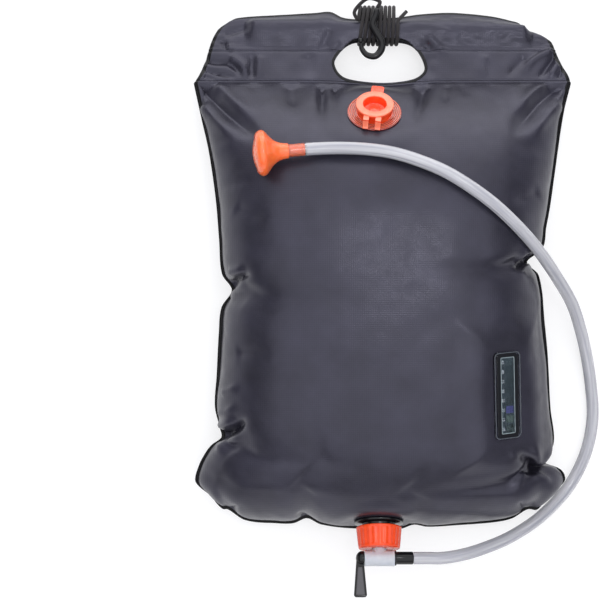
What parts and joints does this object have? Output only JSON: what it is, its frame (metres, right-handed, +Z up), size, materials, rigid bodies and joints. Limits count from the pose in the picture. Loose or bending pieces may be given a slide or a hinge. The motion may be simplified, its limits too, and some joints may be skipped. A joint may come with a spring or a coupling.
{
  "type": "camp shower bag",
  "caption": "Black film camp shower bag lying filled, with fill port, thermometer, outlet tap, clear hose with orange shower head, handle rod, and wound cord with hook",
  "frame": {"origin": "On the ground, in the middle of the flat patch where the bag's back rests", "axes": "+X to the right of the bag seen from its front, +Y along the bag to its handle, +Z up from the ground out of its front"},
  "size_m": [0.4421, 0.6406, 0.148],
  "materials": {
    "black_film": "satin welded film with soft wrinkles",
    "rod_plastic": "plain extruded rod",
    "clear_vinyl": "clear soft film",
    "crystal_card": "printed liquid crystal strip",
    "orange_vinyl": "translucent soft vinyl",
    "black_plastic": "moulded, glossy",
    "washer_rubber": "matt",
    "orange_plastic": "moulded, satin gloss",
    "clear_plastic": "translucent moulded",
    "hose_vinyl": "clear extruded tube",
    "cord_braid": "braided cord"
  },
  "bodies": {
    "root": {"front_panel": "black_film", "back_panel": "black_film", "handle_rod": "rod_plastic", "thermometer_pocket": "clear_vinyl", "thermometer_card": "crystal_card", "fill_flange": "orange_vinyl", "outlet_spout": "black_plastic", "hose": "hose_vinyl", "shower_head": "orange_plastic", "shower_rose": "orange_plastic", "hanging_cord": "cord_braid", "hook": "black_plastic"},
    "cap": {"fill_cap": "orange_vinyl"},
    "tap": {"tap_body": "clear_plastic", "sealing_washer": "washer_rubber"},
    "collar": {"outlet_collar": "orange_plastic"},
    "plug": {"tap_plug": "black_plastic", "tap_lever": "black_plastic"}
  },
  "joints": [
    {"name": "cap_open", "type": "hinge", "parent": "root", "child": "cap", "pos_m": [-0.01489, 0.18883, 0.10708], "axis": [0.9877, -0.1174, 0.1034], "range_deg": [0, 120]},
    {"name": "tap_draw", "type": "slide", "parent": "root", "child": "tap", "axis": [0, -0.9404, 0.3401], "range_m": [0, 0.008], "deforming": ["hose"]},
    {"name": "collar_turn", "type": "hinge", "parent": "tap", "child": "collar", "pos_m": [-0.00505, -0.2291, 0.05898], "axis": [0, -0.9404, 0.3401], "range_deg": [0, 720]},
    {"name": "tap_turn", "type": "hinge", "parent": "tap", "child": "plug", "pos_m": [-0.00505, -0.26681, 0.07262], "axis": [-1, 0, 0], "range_deg": [0, 90]}
  ],
  "couplings": [
    {"joint": "collar_turn", "follows": "tap_draw", "rad_per_m": 1570.8}
  ]
}
